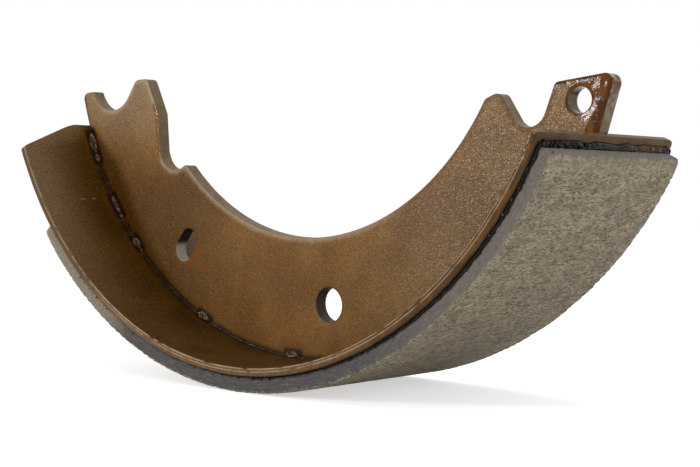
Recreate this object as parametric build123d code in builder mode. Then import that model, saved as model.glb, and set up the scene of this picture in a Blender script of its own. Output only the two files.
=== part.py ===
from build123d import *
from math import asin, cos, degrees, radians, sin, sqrt
import os

# A bonded drum brake shoe in millimetres: one flat web, a bent rim (the table) welded to the web's outer
# edge, and a friction lining glued to the rim. The drum's axis runs along Y, and angles are measured about
# it from straight down, positive toward the adjuster end (+X).

# Drum and lining
drum_radius = 160.0
lining_thickness = 6.3
lining_width = 80.0
lining_anchor_angle = -51.1
lining_adjuster_angle = 62.9
lead_in_length = 6.0
lead_in_depth = 0.6
lining_end_radius = 1.8
lining_edge_break = 0.4

# Glue film between lining and rim
bond_thickness = 0.25
bond_side_squeeze = 0.8
bond_end_squeeze = 1.6

# Rim, the bent steel strip
rim_thickness = 3.2
rim_width = 84.0
rim_anchor_angle = -69.8
rim_adjuster_angle = 64.5
rim_tip_width = 26.0
rim_corner_run = 11.8
rim_corner_radius = 2.5
rim_inner_edge_break = 0.5
rim_outer_edge_break = 1.0

# Web, the flat plate
web_thickness = 6.0
web_depth = 48.3
web_edge_break = 0.5

# Holes in the web
hole_depth = 21.5
hold_down_angle = 5.5
hold_down_diameter = 13.5
slot_angle = -34.3
slot_width = 10.0
slot_length = 15.2
slot_lean = 51.0

# Anchor end: a short ear beside the rim, a half-round notch for the anchor pin and a tall ear
anchor_notch_radius = 14.5
anchor_notch_depth = 22.6
anchor_notch_angle = -75.8
short_ear_angle = -75.7
short_ear_drop = 5.2
short_ear_corner = 2.5
notch_lip_radius = 1.2
tall_ear_left_length = 8.8
tall_ear_left_lean = 53.3
tall_ear_left_corner = 4.0
tall_ear_width = 8.0
tall_ear_right_corner = 2.6
tall_ear_shoulder_drop = 15.7
tall_ear_shoulder_corner = 6.0
tall_ear_side_lean = 94.3

# Round recess under the tall ear, centred on the crescent
recess_angle = -51.5
recess_radius = 10.2
recess_lip_radius = 2.0

# Adjuster end: a rounded horn, a U-notch and a slanted lug with a spring hole
adjuster_notch_radius = 7.4
adjuster_notch_depth = 30.3
adjuster_notch_angle = 63.0
horn_width = 6.2
horn_side_length = 11.5
horn_side_lean = 123.1
horn_inner_corner = 2.5
horn_outer_corner = 3.0
lug_side_length = 11.1
lug_side_lean = 68.5
lug_top_lean = 5.6
lug_width = 24.4
lug_inner_corner = 2.4
lug_outer_corner = 3.2
lug_root_radius = 20.0
spring_hole_radius = 4.5
spring_hole_depth = 11.6
spring_hole_angle = 67.3

# Weld beads in the corner between web and rim, on both sides of the web
weld_height = 2.6
weld_reach = 2.2
weld_bulge = 0.68
weld_end_taper = 0.8
weld_spots = [
    (-65.4, 6.2),
    (-53.3, 5.0),
    (-44.7, 3.3),
    (-23.9, 3.3),
    (-2.8, 3.3),
    (18.2, 3.3),
    (38.6, 3.3),
    (57.5, 3.3),
]

# Radii that follow from the sizes above, where each depth counts inward from the rim's inner face
lining_inner_radius = drum_radius - lining_thickness
rim_outer_radius = lining_inner_radius - bond_thickness
rim_inner_radius = rim_outer_radius - rim_thickness
crescent_radius = rim_inner_radius - web_depth
hole_pitch_radius = rim_inner_radius - hole_depth


def polar(radius, angle):
    """A point at this radius from the drum's axis, at this angle from straight down."""
    return Vector(radius * sin(radians(angle)), -radius * cos(radians(angle)))


def heading(angle):
    """A unit step in the web's plane, at this angle above +X."""
    return Vector(cos(radians(angle)), sin(radians(angle)))


def reach_height(start, angle, height):
    """The point where a line from start at this angle comes to this height."""
    return start + heading(angle) * ((height - start.Y) / sin(radians(angle)))


# The part's origin is the middle of the hold-down hole, so the drum's axis lies above it.
hold_down_center = polar(hole_pitch_radius, hold_down_angle)
drum_axis_point = (-hold_down_center.X, 0, -hold_down_center.Y)
shoe_plane = Plane(origin=drum_axis_point, x_dir=(1, 0, 0), z_dir=(0, -1, 0))
drum_axis = Axis(drum_axis_point, (0, -1, 0))


def strip_plane(radius, angle):
    """A plane on the strip at this angle: x runs along it, y across it and z away from the drum's axis."""
    along = heading(angle)
    outward = polar(1, angle)
    return Plane(
        origin=shoe_plane.from_local_coords(polar(radius, angle)),
        x_dir=(along.X, 0, along.Y),
        z_dir=(outward.X, 0, outward.Y),
    )


def arc_band(inner, outer, start_angle, end_angle):
    """A flat band between two radii about the drum's axis, from one angle to the other."""
    middle_angle = (start_angle + end_angle) / 2
    with BuildSketch() as band:
        with BuildLine():
            outside = ThreePointArc(*[polar(outer, angle) for angle in (start_angle, middle_angle, end_angle)])
            inside = ThreePointArc(*[polar(inner, angle) for angle in (start_angle, middle_angle, end_angle)])
            Line(outside @ 0, inside @ 0)
            Line(outside @ 1, inside @ 1)
        make_face()
    return band.sketch


# Web outline: corner points, from the adjuster end round the bottom to the anchor end and back
anchor_notch = polar(rim_inner_radius - anchor_notch_depth, anchor_notch_angle)
short_ear_tip = polar(rim_inner_radius, short_ear_angle)
lip_reach = sqrt(anchor_notch_radius**2 - short_ear_drop**2)
notch_lip = anchor_notch + Vector(-lip_reach, -short_ear_drop)
notch_floor = anchor_notch + Vector(0, -anchor_notch_radius)
notch_exit = anchor_notch + heading(tall_ear_left_lean - 90) * anchor_notch_radius
tall_ear_left = notch_exit + heading(tall_ear_left_lean) * tall_ear_left_length
tall_ear_right = tall_ear_left + Vector(tall_ear_width, 0)
recess = polar(crescent_radius, recess_angle)
recess_entry = recess + heading(tall_ear_side_lean + 90) * recess_radius
tall_ear_shoulder = reach_height(recess_entry, tall_ear_side_lean, tall_ear_left.Y - tall_ear_shoulder_drop)
recess_exit_angle = recess_angle + 2 * degrees(asin(recess_radius / (2 * crescent_radius)))
recess_exit = polar(crescent_radius, recess_exit_angle)
adjuster_notch = polar(rim_inner_radius - adjuster_notch_depth, adjuster_notch_angle)
horn_exit = adjuster_notch + heading(horn_side_lean + 90) * adjuster_notch_radius
horn_outer = horn_exit + heading(horn_side_lean) * horn_side_length
horn_inner = polar(crescent_radius, degrees(asin((horn_outer.X - horn_width) / crescent_radius)))
lug_entry = adjuster_notch + heading(lug_side_lean - 90) * adjuster_notch_radius
lug_inner = lug_entry + heading(lug_side_lean) * lug_side_length
lug_outer = lug_inner + heading(lug_top_lean) * lug_width
rim_end = polar(rim_inner_radius, rim_adjuster_angle)

rounded_corners = [
    (short_ear_tip, short_ear_corner),
    (notch_lip, notch_lip_radius),
    (tall_ear_left, tall_ear_left_corner),
    (tall_ear_right, tall_ear_right_corner),
    (tall_ear_shoulder, tall_ear_shoulder_corner),
    (recess_exit, recess_lip_radius),
    (horn_inner, horn_inner_corner),
    (horn_outer, horn_outer_corner),
    (lug_inner, lug_inner_corner),
    (lug_outer, lug_outer_corner),
    (rim_end, lug_root_radius),
]

with BuildPart() as web:
    with BuildSketch(shoe_plane) as web_outline:
        with BuildLine():
            ThreePointArc(rim_end, polar(rim_inner_radius, 0), short_ear_tip)
            Line(short_ear_tip, notch_lip)
            ThreePointArc(notch_lip, notch_floor, notch_exit)
            Polyline(notch_exit, tall_ear_left, tall_ear_right, tall_ear_shoulder, recess_entry)
            ThreePointArc(recess_entry, recess + Vector(0, -recess_radius), recess_exit)
            ThreePointArc(recess_exit, polar(crescent_radius, 0), horn_inner)
            Polyline(horn_inner, horn_outer, horn_exit)
            ThreePointArc(horn_exit, adjuster_notch + Vector(0, -adjuster_notch_radius), lug_entry)
            Polyline(lug_entry, lug_inner, lug_outer, rim_end)
        make_face()
        for corner, corner_radius in rounded_corners:
            fillet(web_outline.vertices().sort_by_distance(corner)[0], corner_radius)
        with Locations(polar(hole_pitch_radius, hold_down_angle)):
            Circle(hold_down_diameter / 2, mode=Mode.SUBTRACT)
        with Locations(polar(rim_inner_radius - spring_hole_depth, spring_hole_angle)):
            Circle(spring_hole_radius, mode=Mode.SUBTRACT)
        with Locations(polar(hole_pitch_radius, slot_angle)):
            SlotOverall(slot_length, slot_width, rotation=slot_lean, mode=Mode.SUBTRACT)
    extrude(amount=web_thickness / 2, both=True)
    chamfer(web.faces().filter_by(Axis.Y).edges(), web_edge_break)
web.part.label = "web"

with BuildPart() as rim:
    with BuildSketch(shoe_plane):
        add(arc_band(rim_inner_radius, rim_outer_radius, rim_anchor_angle, rim_adjuster_angle))
    extrude(amount=rim_width / 2, both=True)
    # The anchor end tapers from the full width to a narrow tip that carries the short ear.
    with BuildSketch(strip_plane(rim_outer_radius, rim_anchor_angle)):
        for side in (1, -1):
            with BuildLine():
                Polyline(
                    (-rim_corner_run, side * rim_tip_width / 2),
                    (0, side * rim_tip_width / 2),
                    (rim_corner_run, side * rim_width / 2),
                    (rim_corner_run, side * rim_width),
                    (-rim_corner_run, side * rim_width),
                    close=True,
                )
            make_face()
    extrude(amount=rim_corner_run, both=True, mode=Mode.SUBTRACT)
    side_edges = rim.edges().group_by(Axis.Y)
    fillet((side_edges[0] + side_edges[-1]).filter_by(GeomType.LINE), rim_corner_radius)
    # The inner face is the second largest, and the shear rolls the outer edge over further than the inner one.
    inner_face = rim.faces().filter_by(GeomType.CYLINDER).sort_by(SortBy.AREA)[-2]
    chamfer(inner_face.edges(), rim_inner_edge_break)
    outer_face = rim.faces().filter_by(GeomType.CYLINDER).sort_by(SortBy.AREA)[-1]
    chamfer(outer_face.edges(), rim_outer_edge_break)
rim.part.label = "rim"

# The rubbing face drops toward each end of the lining.
lead_in_angle = degrees(lead_in_length / drum_radius)
end_radius = drum_radius - lead_in_depth
anchor_end = polar(end_radius, lining_anchor_angle)
adjuster_end = polar(end_radius, lining_adjuster_angle)

with BuildPart() as lining:
    with BuildSketch(shoe_plane) as lining_outline:
        with BuildLine():
            rubbing_arc = ThreePointArc(
                polar(drum_radius, lining_anchor_angle + lead_in_angle),
                polar(drum_radius, 0),
                polar(drum_radius, lining_adjuster_angle - lead_in_angle),
            )
            glued_arc = ThreePointArc(
                polar(lining_inner_radius, lining_anchor_angle),
                polar(lining_inner_radius, 0),
                polar(lining_inner_radius, lining_adjuster_angle),
            )
            Polyline(rubbing_arc @ 0, anchor_end, glued_arc @ 0)
            Polyline(rubbing_arc @ 1, adjuster_end, glued_arc @ 1)
        make_face()
        for corner in (anchor_end, adjuster_end):
            fillet(lining_outline.vertices().sort_by_distance(corner)[0], lining_end_radius)
    extrude(amount=lining_width / 2, both=True)
    rubbing_face = lining.faces().filter_by(GeomType.CYLINDER).sort_by(SortBy.AREA)[-1]
    chamfer(rubbing_face.edges().filter_by(GeomType.CIRCLE), lining_edge_break)
lining.part.label = "lining"

bond_overrun = degrees(bond_end_squeeze / lining_inner_radius)
bond_start = lining_anchor_angle - bond_overrun
bond_end = lining_adjuster_angle + bond_overrun

with BuildPart() as bond:
    with BuildSketch(shoe_plane):
        add(arc_band(rim_outer_radius, lining_inner_radius, bond_start, bond_end))
    extrude(amount=lining_width / 2 + bond_side_squeeze, both=True)
bond.part.label = "bond_film"


def weld_bead(name, angle, sweep, side):
    """A bead of weld metal in the corner between web and rim, on the side of the web that side points to."""
    start = angle - sweep / 2
    tangent = heading(start)
    outward = polar(1, start)
    section_plane = Plane(drum_axis_point, x_dir=(outward.X, 0, outward.Y), z_dir=(tangent.X, 0, tangent.Y))
    web_side = side * web_thickness / 2
    crown_reach = side * (web_thickness / 2 + weld_reach * weld_bulge)
    root = (rim_inner_radius, web_side)
    top = (rim_inner_radius - weld_height, web_side)
    toe = (rim_inner_radius, side * (web_thickness / 2 + weld_reach))
    crown = (rim_inner_radius - weld_height * weld_bulge, crown_reach)
    with BuildPart() as bead:
        with BuildSketch(section_plane):
            with BuildLine():
                ThreePointArc(top, crown, toe)
                Polyline(toe, root, top)
            make_face()
        revolve(axis=drum_axis, revolution_arc=sweep)
        end_edges = bead.edges().filter_by(GeomType.CIRCLE).sort_by(SortBy.LENGTH)[:2]
        chamfer(end_edges, weld_end_taper)
    bead.part.label = name
    return bead.part


pieces = [web.part, rim.part, lining.part, bond.part]
for number, (weld_angle, weld_sweep) in enumerate(weld_spots, start=1):
    pieces.append(weld_bead(f"weld_front_{number}", weld_angle, weld_sweep, -1))
    pieces.append(weld_bead(f"weld_back_{number}", weld_angle, weld_sweep, 1))

os.makedirs("parts", exist_ok=True)
for piece in pieces:
    export_step(piece, f"parts/{piece.label}.step")
    print(piece.label, round(piece.volume), piece.bounding_box().size)
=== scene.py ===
from math import asin, cos, degrees, pi, radians, sin, sqrt, tan

import bpy
import numpy as np
from mathutils.geometry import delaunay_2d_cdt
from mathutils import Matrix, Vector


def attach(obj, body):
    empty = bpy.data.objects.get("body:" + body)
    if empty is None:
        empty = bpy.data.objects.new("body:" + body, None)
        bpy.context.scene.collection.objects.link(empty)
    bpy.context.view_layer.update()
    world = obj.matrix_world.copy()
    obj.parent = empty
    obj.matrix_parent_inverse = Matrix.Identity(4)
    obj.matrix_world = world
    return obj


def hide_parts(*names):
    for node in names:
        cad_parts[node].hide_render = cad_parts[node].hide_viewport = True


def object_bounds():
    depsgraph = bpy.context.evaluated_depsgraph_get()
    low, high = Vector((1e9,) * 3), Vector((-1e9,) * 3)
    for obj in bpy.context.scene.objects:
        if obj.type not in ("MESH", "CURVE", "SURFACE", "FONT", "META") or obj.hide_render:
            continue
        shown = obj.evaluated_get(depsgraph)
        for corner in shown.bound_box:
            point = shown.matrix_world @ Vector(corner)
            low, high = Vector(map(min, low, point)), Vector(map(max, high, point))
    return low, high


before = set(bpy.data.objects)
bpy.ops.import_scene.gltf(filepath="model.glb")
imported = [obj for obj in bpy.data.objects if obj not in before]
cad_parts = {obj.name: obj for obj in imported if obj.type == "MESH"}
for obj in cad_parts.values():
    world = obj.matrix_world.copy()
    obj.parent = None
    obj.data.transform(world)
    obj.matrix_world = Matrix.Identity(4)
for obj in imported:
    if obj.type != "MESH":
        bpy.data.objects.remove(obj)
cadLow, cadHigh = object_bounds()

# A drum brake shoe. Shapes are worked out in millimetres about the drum's axis and then put in place:
# x and y lie in the web's plane, and angles count from straight down, positive toward the slanted lug.
shoe = {
    "drumRadius": 160.0,
    "liningThickness": 6.3,
    "bondThickness": 0.25,
    "rimThickness": 3.2,
    "webThickness": 6.0,
    "webDepth": 48.3,
    "holeDepth": 21.5,
    "holeAngle": 5.5,
    "welds": [(-65.4, 6.2), (-53.3, 5.0), (-44.7, 3.3), (-23.9, 3.3), (-2.8, 3.3), (18.2, 3.3), (38.6, 3.3),
              (57.5, 3.3)],
}
liningInner = shoe["drumRadius"] - shoe["liningThickness"]
rimOuter = liningInner - shoe["bondThickness"]
rimInner = rimOuter - shoe["rimThickness"]
crescent = rimInner - shoe["webDepth"]
holePitch = rimInner - shoe["holeDepth"]
webHalf = shoe["webThickness"] / 2


def polar(radius, angle):
    turn = np.radians(angle)
    return np.stack([radius * np.sin(turn), -radius * np.cos(turn)], axis=-1)


def heading(angle):
    return np.array([cos(radians(angle)), sin(radians(angle))])


axis = -polar(holePitch, shoe["holeAngle"])     # the drum's axis, seen from the hold-down hole


def inPlace(flat, across):
    # A point of the web's plane and a distance across it, moved from the drum's axis to the shoe's own origin.
    flat, across = np.asarray(flat, float), np.asarray(across, float)
    return np.stack([flat[..., 0] + axis[0], np.broadcast_to(across, flat.shape[:-1]), flat[..., 1] + axis[1]],
                    axis=-1)


def waves(points, size, seed, count=16):
    # Smooth noise, mostly from -1 to 1: the sum of sine waves in random directions, about size mm long.
    dice = np.random.default_rng(seed)
    ways = dice.normal(size=(count, points.shape[1]))
    ways /= np.linalg.norm(ways, axis=1, keepdims=True)
    ways *= 2 * pi / (size * dice.uniform(0.55, 1.7, (count, 1)))
    return np.sin(points @ ways.T + dice.uniform(0, 2 * pi, count)).sum(axis=1) / sqrt(2 * count)


def smoothStep(value, low, high):
    t = np.clip((value - low) / (high - low), 0, 1)
    return t * t * (3 - 2 * t)


def addPiece(name, points, faces, material, nodes=(), fields=None):
    # points are in mm and stay inside the CAD box. fields are numbers or vectors at the points for the material.
    mesh = bpy.data.meshes.new(name)
    mesh.from_pydata(np.clip(points * 0.001, cadLow, cadHigh), [], faces)
    mesh.polygons.foreach_set("use_smooth", np.ones(len(mesh.polygons), bool))
    for label, values in (fields or {}).items():
        values = np.asarray(values, np.float32)
        kind, key = ("FLOAT", "value") if values.ndim == 1 else ("FLOAT_VECTOR", "vector")
        mesh.attributes.new(label, kind, "POINT").data.foreach_set(key, values.ravel())
    mesh.materials.append(material)
    mesh.update()
    piece = bpy.data.objects.new(name, mesh)
    bpy.context.scene.collection.objects.link(piece)
    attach(piece, "root")
    if nodes:
        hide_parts(*nodes)
    return piece


def gridFaces(rows, columns, closed=True, first=0):
    # The quads of a grid of points, row after row. A closed grid joins its last column to its first.
    row = np.arange(rows - 1)[:, None] * columns
    column = np.arange(columns if closed else columns - 1)[None, :]
    after = (column + 1) % columns
    quads = np.stack([row + column, row + after, row + columns + after, row + columns + column], axis=-1)
    return quads.reshape(-1, 4) + first


def tone(red, green, blue):
    # A colour as it is seen on a screen, from 0 to 255, turned into the shader's linear values.
    parts = np.array([red, green, blue]) / 255
    linear = np.where(parts <= 0.04045, parts / 12.92, ((parts + 0.055) / 1.055) ** 2.4)
    return (*[float(part) for part in linear], 1.0)


def put(tree, kind, sockets=None, **settings):
    made = tree.nodes.new("ShaderNode" + kind)
    for key, value in settings.items():
        setattr(made, key, value)
    for key, value in (sockets or {}).items():
        if isinstance(value, bpy.types.NodeSocket):
            tree.links.new(value, made.inputs[key])
        else:
            made.inputs[key].default_value = value
    return made.outputs


def maths(tree, operation, first, second=0.0):
    return put(tree, "Math", {0: first, 1: second}, operation=operation)[0]


def times(tree, first, second):
    return maths(tree, "MULTIPLY", first, second)


def larger(tree, first, second):
    return maths(tree, "MAXIMUM", first, second)


def spread(tree, value, low, high, bottom=0.0, top=1.0):
    sockets = {"Value": value, "From Min": low, "From Max": high, "To Min": bottom, "To Max": top}
    return put(tree, "MapRange", sockets, interpolation_type="SMOOTHSTEP")[0]


def blend(tree, factor, first, second, way="MIX"):
    return put(tree, "Mix", {0: factor, 6: first, 7: second}, data_type="RGBA", blend_type=way)[2]


def softNoise(tree, place, scale, detail):
    return put(tree, "TexNoise", {"Vector": place, "Scale": scale, "Detail": detail})[0]


def between(tree, share, first, second):
    return put(tree, "Mix", {0: share, 2: first, 3: second})[0]


def scaled(tree, place, sizes):
    return put(tree, "VectorMath", {0: place, 1: sizes}, operation="MULTIPLY")[0]


def moved(tree, place, step):
    return put(tree, "VectorMath", {0: place, 1: step})[0]


def field(tree, name, vector=False):
    return put(tree, "Attribute", attribute_name=name)["Vector" if vector else "Fac"]


def tint(tree, color, mask, share, paint):
    # Lays a paint over a colour where the mask is, at a share of its full strength.
    return blend(tree, times(tree, mask, share), color, paint)


def startGroup(name, inputs, output):
    group = bpy.data.node_groups.new(name, "ShaderNodeTree")
    for label, kind, value in inputs:
        socket = group.interface.new_socket(name=label, in_out="INPUT", socket_type="NodeSocket" + kind)
        if value is not None:
            socket.default_value = value
    group.interface.new_socket(name=output, in_out="OUTPUT", socket_type="NodeSocketFloat")
    return group, group.nodes.new("NodeGroupInput").outputs, group.nodes.new("NodeGroupOutput").inputs


def use(tree, group, sockets):
    made = tree.nodes.new("ShaderNodeGroup")
    made.node_tree = group
    for key, value in sockets.items():
        if isinstance(value, bpy.types.NodeSocket):
            tree.links.new(value, made.inputs[key])
        else:
            made.inputs[key].default_value = value
    return made.outputs[0]


def makePatchGroup():
    # Soft-edged patches: noise between two levels.
    inputs = [("Vector", "Vector", None), ("Scale", "Float", 0.1), ("Detail", "Float", 4.0), ("Warp", "Float", 0.0),
              ("Low", "Float", 0.4), ("High", "Float", 0.6)]
    group, given, result = startGroup("patchMask", inputs, "Mask")
    sockets = {"Vector": given["Vector"], "Scale": given["Scale"], "Detail": given["Detail"],
               "Distortion": given["Warp"]}
    noise = put(group, "TexNoise", sockets)[0]
    group.links.new(spread(group, noise, given["Low"], given["High"]), result["Mask"])
    return group


def makeFleckGroup():
    # Separate small flecks: a share of the cells of a cell pattern, each with a wobbly dot in it.
    inputs = [("Vector", "Vector", None), ("Scale", "Float", 1.0), ("Share", "Float", 0.3), ("Size", "Float", 0.35),
              ("Soft", "Float", 0.12)]
    group, given, result = startGroup("fleckMask", inputs, "Mask")
    cells = put(group, "TexVoronoi", {"Vector": given["Vector"], "Scale": given["Scale"]})
    noise = put(group, "TexNoise", {"Vector": given["Vector"], "Scale": times(group, given["Scale"], 2.3),
                                    "Detail": 2.0})[0]
    wobble = times(group, maths(group, "SUBTRACT", noise, 0.5), 0.5)
    reach = maths(group, "ADD", cells["Distance"], wobble)
    dot = spread(group, reach, given["Size"], maths(group, "SUBTRACT", given["Size"], given["Soft"]))
    chance = put(group, "SeparateColor", {0: cells["Color"]})[0]
    chosen = maths(group, "LESS_THAN", chance, given["Share"])
    group.links.new(times(group, dot, chosen), result["Mask"])
    return group


def makeSpotGroup():
    # One ragged spot about a center, full inside the inner distance and gone outside the outer one.
    inputs = [("Vector", "Vector", None), ("Center", "Vector", None), ("Inner", "Float", 2.0),
              ("Outer", "Float", 4.0),
              ("Ragged", "Float", 1.0)]
    group, given, result = startGroup("spotMask", inputs, "Mask")
    away = put(group, "VectorMath", {0: given["Vector"], 1: given["Center"]}, operation="DISTANCE")["Value"]
    noise = put(group, "TexNoise", {"Vector": given["Vector"], "Scale": 0.35, "Detail": 4.0})[0]
    shift = times(group, maths(group, "SUBTRACT", noise, 0.5), given["Ragged"])
    away = maths(group, "ADD", away, shift)
    group.links.new(spread(group, away, given["Outer"], given["Inner"]), result["Mask"])
    return group


def makeEdgeGroup():
    # Wear or dirt along an edge: a band as wide as Width beside it, with a ragged border.
    inputs = [("Vector", "Vector", None), ("Distance", "Float", 9.0), ("Width", "Float", 2.0), ("Soft", "Float", 1.0),
              ("Ragged", "Float", 1.0), ("Scale", "Float", 0.4)]
    group, given, result = startGroup("edgeMask", inputs, "Mask")
    noise = put(group, "TexNoise", {"Vector": given["Vector"], "Scale": given["Scale"], "Detail": 5.0,
                                    "Roughness": 0.6})[0]
    shift = times(group, maths(group, "SUBTRACT", noise, 0.5), given["Ragged"])
    away = maths(group, "ADD", given["Distance"], times(group, shift, 2.0))
    near = maths(group, "SUBTRACT", given["Width"], given["Soft"])
    group.links.new(spread(group, away, given["Width"], near), result["Mask"])
    return group


def makeGrainGroup():
    # The height of a surface's grain: fine grit and coarser waves added up.
    inputs = [("Vector", "Vector", None), ("Fine Scale", "Float", 2.0), ("Fine", "Float", 0.5),
              ("Coarse Scale", "Float", 0.3),
              ("Coarse", "Float", 0.5)]
    group, given, result = startGroup("grainHeight", inputs, "Height")
    fine = put(group, "TexNoise", {"Vector": given["Vector"], "Scale": given["Fine Scale"], "Detail": 3.0})[0]
    coarse = put(group, "TexNoise", {"Vector": given["Vector"], "Scale": given["Coarse Scale"], "Detail": 2.0})[0]
    total = maths(group, "ADD", times(group, fine, given["Fine"]), times(group, coarse, given["Coarse"]))
    group.links.new(total, result["Height"])
    return group


patchMask = makePatchGroup()
fleckMask = makeFleckGroup()
spotMask = makeSpotGroup()
edgeMask = makeEdgeGroup()
grainHeight = makeGrainGroup()


def startMaterial(name):
    # place is the object's own coordinates in mm.
    material = bpy.data.materials.new(name)
    material.use_nodes = True
    tree = material.node_tree
    tree.nodes.clear()
    shader = tree.nodes.new("ShaderNodeBsdfPrincipled")
    put(tree, "OutputMaterial", {"Surface": shader.outputs[0]})
    place = put(tree, "VectorMath", {0: put(tree, "TexCoord")["Object"], "Scale": 1000.0}, operation="SCALE")[0]
    return material, tree, shader.inputs, place


def setSurface(tree, surface, color, roughness, height=None, depth=0.0002):
    tree.links.new(color, surface["Base Color"])
    if isinstance(roughness, bpy.types.NodeSocket):
        tree.links.new(roughness, surface["Roughness"])
    else:
        surface["Roughness"].default_value = roughness
    if height is not None:
        bump = put(tree, "Bump", {"Height": height, "Strength": 1.0, "Distance": depth})[0]
        tree.links.new(bump, surface["Normal"])


def fineGrain(tree, place, fineScale, fine, coarseScale, coarse):
    sockets = {"Vector": place, "Fine Scale": fineScale, "Fine": fine, "Coarse Scale": coarseScale, "Coarse": coarse}
    return use(tree, grainHeight, sockets)


def flecks(tree, place, scale, share, size=0.35, soft=0.12):
    return use(tree, fleckMask, {"Vector": place, "Scale": scale, "Share": share, "Size": size, "Soft": soft})


def patches(tree, place, scale, low, high, detail=4.0, warp=0.0):
    return use(tree, patchMask, {"Vector": place, "Scale": scale, "Detail": detail, "Warp": warp, "Low": low,
                                 "High": high})


def spot(tree, place, center, inner, outer, ragged=1.0):
    return use(tree, spotMask, {"Vector": place, "Center": center, "Inner": inner, "Outer": outer, "Ragged": ragged})


def beside(tree, place, distance, width, soft=1.0, ragged=1.0, scale=0.4):
    sockets = {"Vector": place, "Distance": distance, "Width": width, "Soft": soft, "Ragged": ragged, "Scale": scale}
    return use(tree, edgeMask, sockets)


def toWeld(angle, radius, across):
    # Distance in mm from points near the root to the nearest weld bead, along the root and away from it.
    spots = np.array(shoe["welds"])
    along = np.abs(angle[:, None] - spots[None, :, 0]) - spots[None, :, 1] / 2
    along = np.radians(np.maximum(along, 0)) * rimInner
    away = np.hypot(np.maximum(rimInner - radius - 2.4, 0), np.maximum(across - webHalf - 2.2, 0))
    return np.hypot(along, away[:, None]).min(axis=1)


# The web is a flat crescent plate.
web = {
    "faceAt": -3.0,                  # the front face, where the spots below lie
    "earBandPlace": (-103.5, 72.0),  # middle of the amber run on the tall ear
    "dropPlace": (126.4, 79.0),      # the sagging drop beside the spring hole
    "dropNarrow": 0.6,
    "poolStart": 115.5,              # left border of the amber pool on the lug
    "poolFloor": 56.0,
    "topBandStart": 103.0,
    "lugWallStart": 124.0,
    "lip": 0.55,                     # rounding of the punched edges
    "rollOver": 0.14,                # how far the faces dip beside the edges
    "wallRough": 0.07,               # torn part of the punched wall
    "grid": 1.5,                     # spacing of the points on the faces
    "brown": tone(114, 79, 30),
    "darkBrown": tone(96, 62, 16),
    "tan": tone(128, 108, 82),
    "glint": tone(190, 178, 160),
    "pepper": tone(46, 28, 10),
    "amber": tone(92, 54, 10),
    "brightAmber": tone(106, 66, 8),
    "rootLacquerAndShade": tone(34, 19, 4),
    "lugAmber": tone(60, 30, 0),
    "wall": tone(104, 89, 68),
    "warm": tone(108, 72, 22),
    "shade": tone(72, 46, 10),
    "sparkle": tone(184, 182, 178),
    "thinEdge": tone(156, 138, 112),
    "weldStain": tone(92, 52, 10),
    "weldBorder": tone(30, 17, 5),
    "rust": tone(104, 60, 10),
    "lugGold": tone(104, 58, 0),
    "wallDark": tone(84, 62, 38),
    "lugWallAmber": tone(86, 54, 20),
    "lugWallReflection": tone(132, 126, 116),
    "holeWall": tone(66, 52, 40),
    "slotWallLit": tone(142, 130, 114),
    "slotShade": tone(22, 14, 8),
}


# Measures of the plate's outline and holes. Depths count from the rim, and turns from +x.
plate = {
    "startAngle": -75.7, "endAngle": 64.5,
    "anchorDepth": 22.6, "anchorAngle": -75.8, "anchorRadius": 14.5, "anchorLipDrop": 5.2,
    "earSlope": 53.3, "earRise": 8.8, "earWidth": 8.0, "earShoulderDrop": 15.7,
    "recessAngle": -51.5, "recessRadius": 10.2, "recessEntryTurn": 184.3,
    "adjusterDepth": 30.3, "adjusterAngle": 63.0, "adjusterRadius": 7.4,
    "hornTurn": 213.1, "hornLength": 11.5, "hornWidth": 6.2,
    "lugTurn": -21.5, "lugLength": 11.1, "lugSlope": 5.6, "lugWidth": 24.4,
    # One radius at the end of each side, from the rim round by the anchor notch to the lug.
    "cornerRadii": [2.5, 1.2, 0, 4.0, 2.6, 6.0, 0, 2.0, 2.5, 3.0, 0, 0, 2.4, 3.2, 20.0],
    "outlineStep": 0.8,
    "slotAngle": -34.3, "slotTurn": 51.0, "slotHalf": 2.6, "slotRadius": 5.0,
    "holdDownRadius": 6.75,
    "springDepth": 11.6, "springAngle": 67.3, "springRadius": 4.5,
}


def trimmed(line, startCut, endCut, step):
    # A line of points shortened at both ends and divided evenly.
    reach = np.r_[0, np.cumsum(np.linalg.norm(np.diff(line, axis=0), axis=1))]
    left = reach[-1] - startCut - endCut
    at = np.linspace(startCut, reach[-1] - endCut, max(2, int(np.ceil(left / step)) + 1))
    return np.stack([np.interp(at, reach, line[:, 0]), np.interp(at, reach, line[:, 1])], axis=1)


def roundedLoop(sides, radii, step):
    # Joins the sides of an outline. Each corner becomes an arc that leaves both sides radius * tan(turn / 2) early.
    def direction(line, last):
        run = line[-1] - line[-2] if last else line[1] - line[0]
        return run / np.linalg.norm(run)
    turns = []
    for number, line in enumerate(sides):
        after = sides[(number + 1) % len(sides)]
        turns.append(np.arccos(np.clip(direction(line, True) @ direction(after, False), -1, 1)))
    cuts = [radius * tan(turn / 2) for radius, turn in zip(radii, turns)]
    pieces = [trimmed(line, cuts[number - 1], cuts[number], step) for number, line in enumerate(sides)]
    loop = []
    for number, line in enumerate(pieces):
        loop.append(line[:-1])
        if radii[number]:
            corner, start, end = sides[number][-1], line[-1], pieces[(number + 1) % len(sides)][0]
            t = np.linspace(0, 1, max(5, int(radii[number] * turns[number] / step) + 4))[:-1, None]
            pull = 2 * cos(turns[number] / 2) * t * (1 - t)
            loop.append(((1 - t) ** 2 * start + pull * corner + t**2 * end) / ((1 - t) ** 2 + pull + t**2))
    return np.concatenate(loop)


def circleArc(center, radius, start, end, count=60):
    turn = np.radians(np.linspace(start, end, count))
    return center + radius * np.stack([np.cos(turn), np.sin(turn)], axis=1)


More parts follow.
